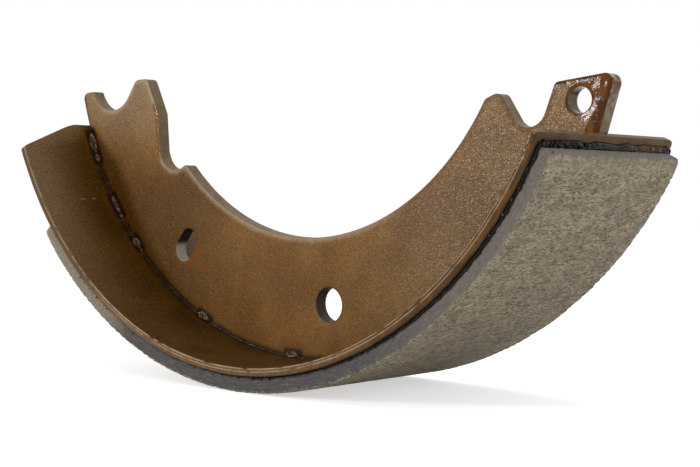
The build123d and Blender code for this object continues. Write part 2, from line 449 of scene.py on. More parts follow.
def webLoops():
    # The plate's outline and its three holes, all with the metal on their left.
    notch = polar(rimInner - plate["anchorDepth"], plate["anchorAngle"])
    lipDrop, anchor = plate["anchorLipDrop"], plate["anchorRadius"]
    lip = notch + np.array([-sqrt(anchor**2 - lipDrop**2), -lipDrop])
    lipTurn = degrees(asin(lipDrop / anchor)) + 180
    notchExit = notch + heading(plate["earSlope"] - 90) * anchor
    earLeft = notchExit + heading(plate["earSlope"]) * plate["earRise"]
    earRight = earLeft + np.array([plate["earWidth"], 0])
    recess = polar(crescent, plate["recessAngle"])
    recessEntry = recess + heading(plate["recessEntryTurn"]) * plate["recessRadius"]
    leanTurn = plate["recessEntryTurn"] - 90
    shoulderRise = (earLeft[1] - plate["earShoulderDrop"] - recessEntry[1]) / sin(radians(leanTurn))
    shoulder = recessEntry + heading(leanTurn) * shoulderRise
    recessEndAngle = plate["recessAngle"] + 2 * degrees(asin(plate["recessRadius"] / (2 * crescent)))
    recessEnd = polar(crescent, recessEndAngle)
    recessTurn = degrees(np.arctan2(*(recessEnd - recess)[::-1])) + 360
    adjuster = polar(rimInner - plate["adjusterDepth"], plate["adjusterAngle"])
    hornTurn, lugTurn = plate["hornTurn"], plate["lugTurn"]
    hornExit = adjuster + heading(hornTurn) * plate["adjusterRadius"]
    hornOuter = hornExit + heading(hornTurn - 90) * plate["hornLength"]
    hornAngle = degrees(asin((hornOuter[0] - plate["hornWidth"]) / crescent))
    hornInner = polar(crescent, hornAngle)
    lugEntry = adjuster + heading(lugTurn) * plate["adjusterRadius"]
    lugInner = lugEntry + heading(lugTurn + 90) * plate["lugLength"]
    lugOuter = lugInner + heading(plate["lugSlope"]) * plate["lugWidth"]
    rimEnd, earTip = polar(rimInner, plate["endAngle"]), polar(rimInner, plate["startAngle"])
    sides = [
        polar(rimInner, np.linspace(plate["endAngle"], plate["startAngle"], 700)),
        np.array([earTip, lip]),
        circleArc(notch, anchor, lipTurn, plate["earSlope"] + 270),
        np.array([notchExit, earLeft]),
        np.array([earLeft, earRight]),
        np.array([earRight, shoulder]),
        np.array([shoulder, recessEntry]),
        circleArc(recess, plate["recessRadius"], plate["recessEntryTurn"], recessTurn),
        polar(crescent, np.linspace(recessEndAngle, hornAngle, 400)),
        np.array([hornInner, hornOuter]),
        np.array([hornOuter, hornExit]),
        circleArc(adjuster, plate["adjusterRadius"], hornTurn, lugTurn + 360),
        np.array([lugEntry, lugInner]),
        np.array([lugInner, lugOuter]),
        np.array([lugOuter, rimEnd]),
    ]
    outline = roundedLoop(sides, plate["cornerRadii"], plate["outlineStep"])[::-1]
    slotCenter, row = polar(holePitch, plate["slotAngle"]), heading(plate["slotTurn"]) * plate["slotHalf"]
    slot = np.concatenate([circleArc(slotCenter + row, plate["slotRadius"], plate["slotTurn"] + 90,
                                     plate["slotTurn"] - 90, 22),
                           circleArc(slotCenter - row, plate["slotRadius"], plate["slotTurn"] - 90,
                                     plate["slotTurn"] - 270, 22)])
    holdDown = circleArc(polar(holePitch, shoe["holeAngle"]), plate["holdDownRadius"], 360, 0, 65)[:-1]
    springCenter = polar(rimInner - plate["springDepth"], plate["springAngle"])
    springHole = circleArc(springCenter, plate["springRadius"], 360, 0, 49)[:-1]
    return [outline, slot, holdDown, springHole]

def inset(loop, distance):
    # Moves a closed loop toward the metal on its left.
    run = np.roll(loop, -1, axis=0) - np.roll(loop, 1, axis=0)
    run /= np.linalg.norm(run, axis=1, keepdims=True)
    return loop + np.stack([-run[:, 1], run[:, 0]], axis=1) * np.asarray(distance).reshape(-1, 1)


def insideLoops(points, loops):
    # Even-odd rule: a point is in the metal when a ray from it crosses the loops an odd number of times.
    crossed = np.zeros(len(points), bool)
    for loop in loops:
        start, end = loop, np.roll(loop, -1, axis=0)
        spans = (start[None, :, 1] > points[:, None, 1]) != (end[None, :, 1] > points[:, None, 1])
        slope = (end[:, 0] - start[:, 0]) / np.where(end[:, 1] == start[:, 1], 1e-9, end[:, 1] - start[:, 1])
        at = start[None, :, 0] + slope[None, :] * (points[:, None, 1] - start[None, :, 1])
        crossed ^= ((spans & (points[:, None, 0] < at)).sum(axis=1) % 2).astype(bool)
    return crossed


def edgeDistance(points, loops):
    edge = np.concatenate(loops)
    return np.concatenate([np.sqrt(((part[:, None] - edge[None]) ** 2).sum(axis=2).min(axis=1))
                           for part in np.array_split(points, 12)])


def makeWeb(material):
    loops = webLoops()
    turn = np.radians(np.linspace(0, 90, 5))
    lip = web["lip"]
    insets = np.r_[lip * (1 - np.sin(turn)), 0, 0, 0]
    across = np.r_[-webHalf + lip * (1 - np.cos(turn)), -1.5, 0, 1.5]
    insets, across = np.r_[insets, insets[:5][::-1]], np.r_[across, -across[:5][::-1]]
    rows = len(insets)
    points, sides, faces, distances, firsts = [], [], [], [], []
    count = 0
    for number, loop in enumerate(loops):
        size = len(loop)
        flat = np.concatenate([inset(loop, amount) for amount in insets])
        side = np.repeat(across, size)
        tear = waves(np.c_[flat, side], 1.3, 11 + number) * web["wallRough"]
        rough = np.clip(1 - np.repeat(insets, size) / 0.1, 0, 1)
        normal = np.tile(inset(loop, 1.0) - loop, (rows, 1))
        flat = flat + normal * (np.abs(tear) * rough)[:, None]
        points.append(flat)
        sides.append(side)
        distances.append(np.repeat(insets, size))
        quads = gridFaces(rows, size, first=count)
        faces.append(quads[:, ::-1])
        firsts.append((count, size))
        count += rows * size
    flat, side, distance = np.concatenate(points), np.concatenate(sides), np.concatenate(distances)
    # The faces: points on a triangular grid, joined to the inner rings of the loops.
    rings = [inset(loop, lip) for loop in loops]
    low, high = loops[0].min(axis=0), loops[0].max(axis=0)
    step = web["grid"]
    xs, ys = np.meshgrid(np.arange(low[0], high[0], step), np.arange(low[1], high[1], step * 0.866))
    xs = xs + (np.arange(len(ys)) % 2)[:, None] * step / 2
    inner = np.stack([xs.ravel(), ys.ravel()], axis=1)
    inner = inner[insideLoops(inner, rings)]
    near = edgeDistance(inner, loops)
    inner, near = inner[near > lip + 0.9], near[near > lip + 0.9]
    flatRing = np.concatenate(rings + [inner])
    edges, begin = [], 0
    for ring in rings:
        edges += [(begin + k, begin + (k + 1) % len(ring)) for k in range(len(ring))]
        begin += len(ring)
    _, _, triangles, origin, _, _ = delaunay_2d_cdt([tuple(p) for p in flatRing], edges, [], 0, 1e-6)
    source = np.array([item[0] for item in origin])
    triangles = source[np.array(triangles)]
    triangles = triangles[insideLoops(flatRing[triangles].mean(axis=1), rings)]
    begin = sum(len(ring) for ring in rings)
    frontRing = np.concatenate([np.arange(first, first + size) for first, size in firsts])
    backRing = np.concatenate([np.arange(first + (rows - 1) * size, first + rows * size) for first, size in firsts])
    front = np.r_[frontRing, count + np.arange(len(inner))]
    back = np.r_[backRing, count + len(inner) + np.arange(len(inner))]
    faces = [*np.concatenate(faces).tolist(), *front[triangles].tolist(), *back[triangles[:, ::-1]].tolist()]
    flat = np.concatenate([flat, inner, inner])
    side = np.r_[side, np.full(len(inner), -webHalf), np.full(len(inner), webHalf)]
    distance = np.r_[distance, near, near]
    # Both faces dip beside the edges and wander by a few hundredths of a millimetre elsewhere.
    dip = web["rollOver"] * np.exp(-distance / 1.1) + 0.02 * (1 + waves(flat, 24, 5)) * smoothStep(distance, 0, 6)
    side = side - np.sign(side) * dip * smoothStep(np.abs(side), webHalf - lip, webHalf)
    angle = np.degrees(np.arctan2(flat[:, 0], -flat[:, 1]))
    radius = np.hypot(flat[:, 0], flat[:, 1])
    farAway = 9.0
    onRing, onOutline = distance < lip + 0.01, np.arange(len(distance)) < rows * len(loops[0])
    fields = {
        "edgeDistance": distance,
        "outlineDistance": np.where(onRing, np.where(onOutline, distance, farAway), edgeDistance(flat, loops[:1])),
        "rootDistance": rimInner - radius,
        "weldDistance": toWeld(angle, radius, np.full(len(flat), webHalf)),
    }
    return addPiece("webPlate", inPlace(flat, side), faces, material, ["web"], fields)


def webLacquer():
    material, tree, surface, place = startMaterial("webLacquer")
    parts = put(tree, "SeparateXYZ", {0: place})
    across, up = parts[0], parts[2]
    edge, outer = field(tree, "edgeDistance"), field(tree, "outlineDistance")
    root, weld = field(tree, "rootDistance"), field(tree, "weldDistance")
    rightSide = spread(tree, across, 0.0, 90.0)
    color = blend(tree, patches(tree, place, 0.035, 0.38, 0.62, 2.0), web["darkBrown"], web["brown"])
    color = tint(tree, color, patches(tree, place, 0.06, 0.5, 0.7, 3.0), 0.3, web["warm"])
    # Paler and greyer toward the top and toward the lug, partly a painted sheen of the light on the lacquer.
    paler = larger(tree, times(tree, spread(tree, up, 52.0, 96.0), 0.65), times(tree, rightSide, 0.3))
    color = blend(tree, paler, color, web["tan"])
    darker = times(tree, spread(tree, across, -35.0, -85.0), spread(tree, up, 75.0, 40.0))
    color = tint(tree, color, darker, 0.75, web["shade"])
    # Fine grain: weak on the anchor side, like salt and pepper toward the lug.
    grit = softNoise(tree, place, 2.1, 2.0)
    weak, strong = spread(tree, grit, 0.34, 0.66, 0.66, 1.32), spread(tree, grit, 0.34, 0.66, 0.5, 1.5)
    color = blend(tree, 1.0, color, between(tree, rightSide, weak, strong), "MULTIPLY")
    # Painted highlights: the glints and the sparkle are pale flecks where light would catch the orange peel, more of
    # them toward the lug.
    glints = flecks(tree, place, 1.7, 0.26, 0.36, 0.16)
    color = tint(tree, color, glints, spread(tree, rightSide, 0.0, 1.0, 0.22, 0.7), web["glint"])
    sparkle = times(tree, flecks(tree, place, 1.1, 0.34, 0.34, 0.14), spread(tree, across, 30.0, 95.0))
    color = tint(tree, color, sparkle, 0.55, web["sparkle"])
    pepper = flecks(tree, place, 1.25, 0.2, 0.34, 0.15)
    color = tint(tree, color, pepper, spread(tree, rightSide, 0.0, 1.0, 0.35, 0.8), web["pepper"])
    # Along the free edges the lacquer is thin and pale on the anchor side, and thick and amber toward the lug.
    free = spread(tree, root, 8.0, 14.0)
    pale = times(tree, beside(tree, place, outer, 3.0, 2.6, 1.4, 0.3), free)
    color = tint(tree, color, pale, spread(tree, rightSide, 0.1, 0.5, 0.5, 0.0), web["thinEdge"])
    thick = times(tree, beside(tree, place, outer, 2.2, 1.4, 1.2, 0.3), rightSide)
    color = tint(tree, color, thick, 0.6, web["amber"])
    (earX, earZ), faceAt = web["earBandPlace"], web["faceAt"]
    earBand = times(tree, beside(tree, place, outer, 2.2, 0.6, 1.6, 0.8),
                    spot(tree, place, (earX, faceAt, earZ), 11.0, 13.5, 3.0))
    color = tint(tree, color, earBand, 0.9, web["brightAmber"])
    # Painted shade beside the root: a wide soft darker band where the rim shades the web, then a narrow band of dark
    # lacquer pooled in the corner, darkened further by painted shade.
    color = tint(tree, color, beside(tree, place, root, 10.0, 10.0, 3.0, 0.15), 0.3, web["darkBrown"])
    color = tint(tree, color, beside(tree, place, root, 2.6, 2.4, 1.2, 0.3), 0.85, web["rootLacquerAndShade"])
    color = tint(tree, color, beside(tree, place, weld, 7.0, 6.5, 2.0, 0.3), 0.5, web["weldStain"])
    color = tint(tree, color, beside(tree, place, weld, 1.8, 1.5, 1.0, 0.6), 0.85, web["weldBorder"])
    # Rust and lacquer that ran out of the slot, and a thin lip of it round the hold-down hole.
    slotX, _, slotZ = inPlace(polar(holePitch, plate["slotAngle"]), 0.0)
    halo = larger(tree, spot(tree, place, (slotX + 3.0, faceAt, slotZ - 2.5), 5.8, 8.6, 3.5),
                 spot(tree, place, (slotX + 11.5, faceAt, slotZ - 10.0), 0.4, 2.4, 2.4))
    color = tint(tree, color, halo, 0.7, web["rust"])
    color = tint(tree, color, spot(tree, place, (0.6, faceAt, -0.6), 6.9, 8.0, 1.2), 0.5, web["amber"])
    # A pool of amber lacquer on the lug, right of a ragged border and along its upper edge.
    poolStart, poolFloor, bandStart = web["poolStart"], web["poolFloor"], web["topBandStart"]
    shift = times(tree, maths(tree, "SUBTRACT", softNoise(tree, place, 0.4, 4.0), 0.5), 9.0)
    pool = times(tree, spread(tree, maths(tree, "ADD", across, shift), poolStart, poolStart + 2.0),
                 spread(tree, up, poolFloor, poolFloor + 6.0))
    topBand = times(tree, beside(tree, place, edge, 1.9, 0.8, 1.0, 0.4),
                    spread(tree, across, bandStart, bandStart + 3.0))
    pool = larger(tree, pool, topBand)
    amber = blend(tree, patches(tree, place, 0.25, 0.4, 0.7), web["lugAmber"], web["lugGold"])
    color = tint(tree, color, pool, 0.92, amber)
    wall = spread(tree, edge, 0.3, 0.05)
    # Inside the slot the wall is painted pale as lit, and its upper part dark as painted shade.
    inSlot = spot(tree, place, (slotX, 0.0, slotZ), 9.0, 9.5, 0.0)
    upper = times(tree, spread(tree, up, slotZ - 1.0, slotZ + 2.0), inSlot)
    inHole = spot(tree, place, (0.0, 0.0, 0.0), 8.6, 9.0, 0.0)
    wallColor = blend(tree, times(tree, patches(tree, place, 0.25, 0.4, 0.65), 0.5), web["wall"], web["wallDark"])
    # The lug's right wall: amber lacquer in patches with a painted blue-grey reflection.
    lugWall = blend(tree, patches(tree, place, 0.3, 0.42, 0.58), web["lugWallAmber"], web["lugWallReflection"])
    wallColor = blend(tree, spread(tree, across, web["lugWallStart"], web["lugWallStart"] + 4.0), wallColor, lugWall)
    wallColor = blend(tree, inHole, wallColor, web["holeWall"])
    wallColor = blend(tree, inSlot, wallColor, web["slotWallLit"])
    wallColor = blend(tree, upper, wallColor, web["slotShade"])
    color = blend(tree, wall, color, wallColor)
    rough = patches(tree, place, 0.5, 0.3, 0.7)
    roughness = between(tree, rightSide, spread(tree, rough, 0.0, 1.0, 0.4, 0.52),
                        spread(tree, rough, 0.0, 1.0, 0.2, 0.3))
    roughness = between(tree, larger(tree, pool, earBand), roughness, 0.1)
    height = fineGrain(tree, place, 1.3, 1.0, 0.4, 0.5)
    amount = between(tree, pool, spread(tree, rightSide, 0.0, 1.0, 0.4, 1.5), 0.22)
    # The thick lacquer stands out a little and sags in a long drop right of the spring hole.
    (dropX, dropZ), narrow = web["dropPlace"], web["dropNarrow"]
    sag = spot(tree, scaled(tree, place, (1.0, 1.0, narrow)), (dropX, faceAt, dropZ * narrow), 0.2, 3.4, 0.5)
    ripple = softNoise(tree, place, 0.3, 1.0)
    poolSwell = times(tree, pool, maths(tree, "ADD", 0.6, times(tree, ripple, 0.9)))
    lacquer = larger(tree, larger(tree, earBand, poolSwell), thick)
    swollen = maths(tree, "ADD", times(tree, sag, 2.4), lacquer)
    height = maths(tree, "ADD", times(tree, height, amount), swollen)
    setSurface(tree, surface, color, roughness, height, 0.0002)
    surface["Specular IOR Level"].default_value = 0.12
    return material


makeWeb(webLacquer())
print("web done")


# Rim and lining are strips bent about the drum's axis.
def stations(length, reach, fine, step):
    # Distances along a strip, close together within reach of both ends.
    start = np.arange(0, reach, fine)
    middle = np.linspace(reach, length - reach, int((length - 2 * reach) / step) + 2)
    return np.r_[start, middle, length - start[::-1]]


def bentStrip(startAngle, endAngle, radius, thickness, halfWidth, innerBreak, outerBreak, endBreak, columns, rows):
    # A rectangle with rounded corners carried along an arc. At both ends it shrinks along a quarter circle.
    # Each point has a distance along the arc, a distance across it and a height above the strip's inner face.
    length = radians(endAngle - startAngle) * radius
    turn = np.radians(np.linspace(0, 90, 5))
    fold, near = endBreak * (1 - np.cos(turn)), endBreak * (1 - np.sin(turn))
    body = rows[(rows > endBreak * 1.05) & (rows < length - endBreak * 1.05)]
    along = np.r_[near[::-1], body, length - near]
    shrink = np.r_[fold[::-1], np.zeros(len(body)), fold]
    corner = np.radians(np.array([30, 60, 90]))
    flat = np.linspace(-1, 1, columns + 1)
    ones, zeros = np.ones(3), np.zeros(3)
    # One side of the loop: flat part, inner corner, wall, outer corner, outer flat part.
    part = [
        (flat, np.zeros(columns + 1), np.zeros(columns + 1), np.zeros(columns + 1), np.zeros(columns + 1), 0),
        (ones, np.sin(corner), 1 - np.cos(corner), zeros, zeros, 0),
        (ones[:2], ones[:2], ones[:2], np.array([0.33, 0.67]), zeros[:2], 0),
        (ones, np.cos(corner[::-1] - radians(30)), ones, ones, np.sin(corner - radians(30)), 1),
    ]
    fraction = np.concatenate([part[0][0], part[1][0], part[2][0], part[3][0], flat[::-1], -part[3][0], -part[2][0],
                               -part[1][0]])
    bulge = np.concatenate([part[0][1], part[1][1], part[2][1], np.cos(corner - radians(30)), np.zeros(columns + 1),
                            -np.cos(corner - radians(30))[::-1], -part[2][1], -part[1][1][::-1]])
    inner = np.concatenate([part[0][2], part[1][2], part[2][2], ones, np.ones(columns + 1), ones, ones[:2],
                            part[1][2][::-1]])
    wall = np.concatenate([part[0][3], zeros, part[2][3], ones, np.ones(columns + 1), ones, part[2][3][::-1], zeros])
    outer = np.concatenate([part[0][4], zeros, zeros[:2], np.sin(corner - radians(30)), np.ones(columns + 1),
                            np.sin(corner - radians(30))[::-1], zeros[:2], zeros])
    isOuter = np.concatenate([np.zeros(columns + 1 + 3 + 2), ones, np.ones(columns + 1), ones, zeros[:2], zeros])
    width = halfWidth(along, length) - shrink
    breaks = innerBreak + (outerBreak - innerBreak) * isOuter
    across = fraction * (width[:, None] - breaks) + bulge * breaks
    wallSize = thickness - 2 * shrink - innerBreak - outerBreak
    height = shrink[:, None] + inner * innerBreak + wall * wallSize[:, None] + outer * outerBreak
    loop = len(fraction)
    faces = gridFaces(len(along), loop).tolist()
    # End caps: quads between the inner and outer flat parts, and one polygon at each side.
    inside, outside = np.arange(columns + 1), np.arange(columns + 9, 2 * columns + 10)[::-1]
    cap = np.stack([inside[:-1], inside[1:], outside[1:], outside[:-1]], axis=1).tolist()
    cap.append(list(range(columns, columns + 10)))
    cap.append([*range(2 * columns + 9, loop), 0])
    last = (len(along) - 1) * loop
    faces += [face[::-1] for face in cap] + [[point + last for point in face] for face in cap]
    grid = (len(along), loop)
    return np.broadcast_to(along[:, None], grid).ravel().copy(), across.ravel(), height.ravel(), faces


def stripPoints(startAngle, along, arcRadius, across, radius):
    angle = startAngle + np.degrees(along / arcRadius)
    return inPlace(polar(radius, angle), across), angle


rim = {
    "start": -69.8, "end": 64.5, "halfWidth": 42.0,
    "tipHalf": 13.0, "taper": 11.8, "corner": 2.5,
    "innerBreak": 0.5, "outerBreak": 0.9,
    "waver": 0.10,                   # how far the sheared edge wanders
    "brown": tone(86, 57, 24),
    "darkBrown": tone(52, 31, 0),
    "grey": tone(108, 88, 62),
    "scuff": tone(128, 124, 122),
    "edge": tone(106, 77, 45),
    "edgeHighlight": tone(186, 168, 138),
    "edgeAmber": tone(92, 60, 26),
    "midBrown": tone(64, 40, 2),
    "pepper": tone(30, 18, 6),
    "rootShade": tone(26, 14, 3),
    "weldStain": tone(84, 48, 12),
    "weldBorder": tone(26, 15, 5),
    "wallBrown": tone(84, 60, 38),
    "wallLeft": tone(78, 56, 34),
    "wallRight": tone(70, 45, 20),
    "endDark": tone(70, 46, 22),
    "endPale": tone(112, 88, 60),
    "underPale": tone(84, 62, 38),
    "underDark": tone(64, 45, 24),
}


def cornerLoss(distance, radius):
    # What a rounded corner takes off the width at this distance from the strip's end.
    left = np.clip(radius - distance, 0, radius)
    return radius - np.sqrt(radius**2 - left**2)


def rimHalfWidth(along, length):
    taper = rim["tipHalf"] + (rim["halfWidth"] - rim["tipHalf"]) * along / rim["taper"]
    mixing = np.clip(0.5 + 0.5 * (rim["halfWidth"] - taper) / 2.4, 0, 1)
    width = rim["halfWidth"] * (1 - mixing) + taper * mixing - 2.4 * mixing * (1 - mixing)
    return width - cornerLoss(along, rim["corner"]) - cornerLoss(length - along, rim["corner"])


def makeRim(material):
    length = radians(rim["end"] - rim["start"]) * rimInner
    rows = stations(length, 15, 0.6, 1.3)
    along, across, height, faces = bentStrip(
        rim["start"], rim["end"], rimInner, shoe["rimThickness"], rimHalfWidth, rim["innerBreak"], rim["outerBreak"],
        0.5, 76, rows)
    place = np.c_[along, across, height]
    sheared = smoothStep(np.abs(across), 38, 42)
    waver = 1 + waves(place[:, [0, 2]], 9, 3) + 0.5 * waves(place[:, [0, 2]], 1.6, 4)
    across = across - np.sign(across) * sheared * rim["waver"] * waver / 2
    lowWaver = 0.03 * (1 + waves(place, 30, 6)) * (height < 0.1)
    highWaver = 0.03 * (1 + waves(place, 30, 7)) * (height > shoe["rimThickness"] - 0.1)
    height = height + lowWaver - highWaver
    points, angle = stripPoints(rim["start"], along, rimInner, across, rimInner + height)
    fields = {
        "strip": np.c_[along, across, height],
        "rootDistance": np.abs(across) - webHalf + 9 * (height > 0.3),
        "sideDistance": rimHalfWidth(along, length) - np.abs(across),
        "weldDistance": toWeld(angle, np.full(len(angle), rimInner - 2.4), np.abs(across)) + 9 * (height > 0.3),
    }
    return addPiece("rimStrip", points, faces, material, ["rim"], fields)


def rimLacquer():
    material, tree, surface, place = startMaterial("rimLacquer")
    strip = field(tree, "strip", True)
    parts = put(tree, "SeparateXYZ", {0: strip})
    along, height = parts[0], parts[2]
    side, root, weld = field(tree, "sideDistance"), field(tree, "rootDistance"), field(tree, "weldDistance")
    # The inner face is dark brown in the middle and by the web, and paler toward the tapered end and the sides. The
    # paler, greyer part near the sides is partly a painted reflection of the light at a glancing angle.
    paler = times(tree, spread(tree, side, 34.0, 2.0), spread(tree, along, 150.0, 20.0))
    color = blend(tree, patches(tree, strip, 0.04, 0.35, 0.65, 3.0), rim["darkBrown"], rim["midBrown"])
    color = blend(tree, paler, color, rim["brown"])
    color = tint(tree, color, times(tree, paler, paler), 0.5, rim["grey"])
    grit = softNoise(tree, place, 1.9, 2.0)
    color = blend(tree, 1.0, color, spread(tree, grit, 0.34, 0.66, 0.64, 1.34), "MULTIPLY")
    # Painted highlights: a few pale glint flecks.
    glints = flecks(tree, place, 1.3, 0.16, 0.32, 0.2)
    color = tint(tree, color, glints, 0.18, web["glint"])
    pepper = flecks(tree, place, 1.0, 0.16, 0.34, 0.15)
    color = tint(tree, color, pepper, 0.45, rim["pepper"])
    color = tint(tree, color, beside(tree, place, root, 4.0, 4.0, 1.6, 0.3), 0.7, rim["rootShade"])
    color = tint(tree, color, beside(tree, place, weld, 5.0, 4.5, 1.5, 0.3), 0.5, rim["weldStain"])
    color = tint(tree, color, beside(tree, place, weld, 1.8, 1.5, 1.0, 0.6), 0.85, rim["weldBorder"])
    # Two short pale scuffs lie across the inner face near its tapered end.
    dashed = scaled(tree, strip, (1.0, 0.16, 1.0))
    scuffs = larger(tree, spot(tree, dashed, (39.1, -3.2, 0.0), 0.08, 0.32, 0.15),
                    spot(tree, dashed, (38.9, -2.2, 0.0), 0.1, 0.3, 0.15))
    color = tint(tree, color, scuffs, 0.8, rim["scuff"])
    # The sheared wall: brown, with two fine pale lines along it that are painted highlights, and amber lacquer toward
    # the lug.
    wall = times(tree, spread(tree, height, 0.2, 0.45), spread(tree, side, 1.3, 0.6))
    left, right = spread(tree, along, 120.0, 70.0), spread(tree, along, 215.0, 275.0)
    wallColor = blend(tree, patches(tree, place, 0.5, 0.38, 0.66, 5.0), rim["wallBrown"], rim["edge"])
    wallColor = blend(tree, left, wallColor, rim["wallLeft"])
    amberWall = blend(tree, patches(tree, place, 0.15, 0.4, 0.6), rim["wallRight"], rim["edgeAmber"])
    wallColor = blend(tree, right, wallColor, amberWall)
    glintPatches = patches(tree, scaled(tree, strip, (0.25, 1.0, 1.0)), 0.8, 0.36, 0.5)
    line = times(tree, spread(tree, height, 1.0, 1.3), spread(tree, height, 1.7, 1.4))
    line = times(tree, line, spread(tree, along, 80.0, 110.0))
    wallColor = tint(tree, wallColor, times(tree, line, glintPatches), 0.4, rim["edgeHighlight"])
    color = blend(tree, wall, color, wallColor)
    # A painted highlight also runs along the crest where the inner face meets the wall.
    crest = times(tree, spread(tree, side, 0.75, 0.3), spread(tree, height, 0.6, 0.25))
    color = tint(tree, color, times(tree, crest, glintPatches), spread(tree, along, 70.0, 120.0, 0.3, 0.5), rim["edgeHighlight"])
    atEnd = times(tree, spread(tree, along, 351.0, 351.6), spread(tree, height, 0.3, 0.6))
    endColor = blend(tree, patches(tree, place, 0.3, 0.4, 0.6), rim["endDark"], rim["endPale"])
    color = tint(tree, color, atEnd, 0.8, endColor)
    under = spread(tree, height, 2.4, 3.0)
    underColor = blend(tree, patches(tree, place, 0.08, 0.35, 0.7, 5.0), rim["underPale"], rim["underDark"])
    color = blend(tree, under, color, underColor)
    roughness = spread(tree, patches(tree, place, 0.3, 0.3, 0.7), 0.0, 1.0, 0.36, 0.5)
    roughness = between(tree, times(tree, wall, right), roughness, 0.12)
    grain = fineGrain(tree, place, 1.3, 0.35, 0.3, 0.6)
    setSurface(tree, surface, color, roughness, grain, 0.00014)
    surface["Specular IOR Level"].default_value = 0.1
    return material


makeRim(rimLacquer())
print("rim done")

lining = {
    "start": -51.1, "end": 62.9, "halfWidth": 40.0,
    "leadIn": 6.0, "leadInDrop": 0.6, "endRound": 1.7,
    "pits": 1500, "pitDepth": 0.12,
    "chip": 0.3,                     # how deep the edges crumble
    "face": tone(154, 142, 119),
    "faceDark": tone(104, 96, 76),
    "streak": tone(176, 164, 142),
    "fleck": tone(58, 49, 38),
    "sideTan": tone(122, 112, 97),
    "sideDark": tone(72, 70, 71),
    "sideGrey": tone(100, 94, 88),
    "spark": tone(186, 122, 86),
    "cloud": tone(126, 118, 106),
    "darkStreak": tone(98, 90, 74),
    "smallFleck": tone(66, 57, 44),
    "fineFleck": tone(78, 67, 54),
    "leadInTone": tone(150, 132, 112),
    "scratch": tone(140, 130, 116),
    "sideSpot": tone(50, 46, 44),
    "glueStainAndShadow": tone(34, 28, 24),
}


def makeLining(material):
    radius = liningInner
    length = radians(lining["end"] - lining["start"]) * radius
    rows = stations(length, 8, 0.45, 0.85)
    along, across, height, faces = bentStrip(
        lining["start"], lining["end"], radius, shoe["liningThickness"], lambda s,
        total: lining["halfWidth"] - cornerLoss(s, 2.2) - cornerLoss(total - s, 2.2),
        0.3, 0.5, 0.35, 90, rows)
    top = smoothStep(height, shoe["liningThickness"] - 1.0, shoe["liningThickness"])
    place = np.c_[along, across]
    end = np.minimum(along, length - along)
    drop = lining["leadInDrop"] * np.clip(1 - end / lining["leadIn"], 0, 1) + cornerLoss(end, lining["endRound"])
    # Grinding marks run across the strip, so the relief is stretched that way, and it only goes inward.
    stretched = np.c_[along, across * 0.22]
    broad, grit = 0.03 * (1 + waves(place, 11, 22)), 0.012 * (1 + waves(place, 1.9, 23, 28))
    relief = 0.022 * (1 + waves(stretched, 2.2, 21, 28)) + broad + grit
    dice = np.random.default_rng(7)
    pits = np.c_[dice.uniform(0, length, lining["pits"]), dice.uniform(-40, 40, lining["pits"])]
    size = dice.uniform(0.5, 1.5, lining["pits"]) ** 1.3
    depth = np.zeros(len(along))
    for part in np.array_split(np.arange(lining["pits"]), 22):
        reach = np.hypot((place[:, None, 0] - pits[part, 0]), (place[:, None, 1] - pits[part, 1]) * 0.45) / size[part]
        depth = np.maximum(depth, np.clip(1 - reach**2, 0, 1).max(axis=1) * lining["pitDepth"])
    relief += depth
    sideEdge = smoothStep(np.abs(across), lining["halfWidth"] - 1.6, lining["halfWidth"] - 0.2)
    onWall = np.c_[along, height]
    crumble = np.clip(waves(onWall, 2.4, 24, 24) + 0.15, 0, 1) + 0.4 * np.clip(waves(onWall, 0.9, 25, 24), 0, 1)
    relief += sideEdge * crumble * lining["chip"]
    height = height - (drop + relief * (0.3 + 0.7 * smoothStep(end, 0, 5))) * top
    onSide = smoothStep(np.abs(across), lining["halfWidth"] - 0.6, lining["halfWidth"])
    onWall = np.c_[along, height]
    slow, quick = 0.08 * (1 + waves(onWall, 2.5, 26)), 0.05 * (1 + waves(onWall, 0.9, 27))
    sideWaver = slow + quick + crumble * 0.25 * top
    across = across - np.sign(across) * onSide * sideWaver
    points, _ = stripPoints(lining["start"], along, radius, across, radius + height)
    fields = {"strip": np.c_[along, across, height], "pit": depth / lining["pitDepth"], "endDistance": end}
    return addPiece("frictionLining", points, faces, material, ["lining"], fields)


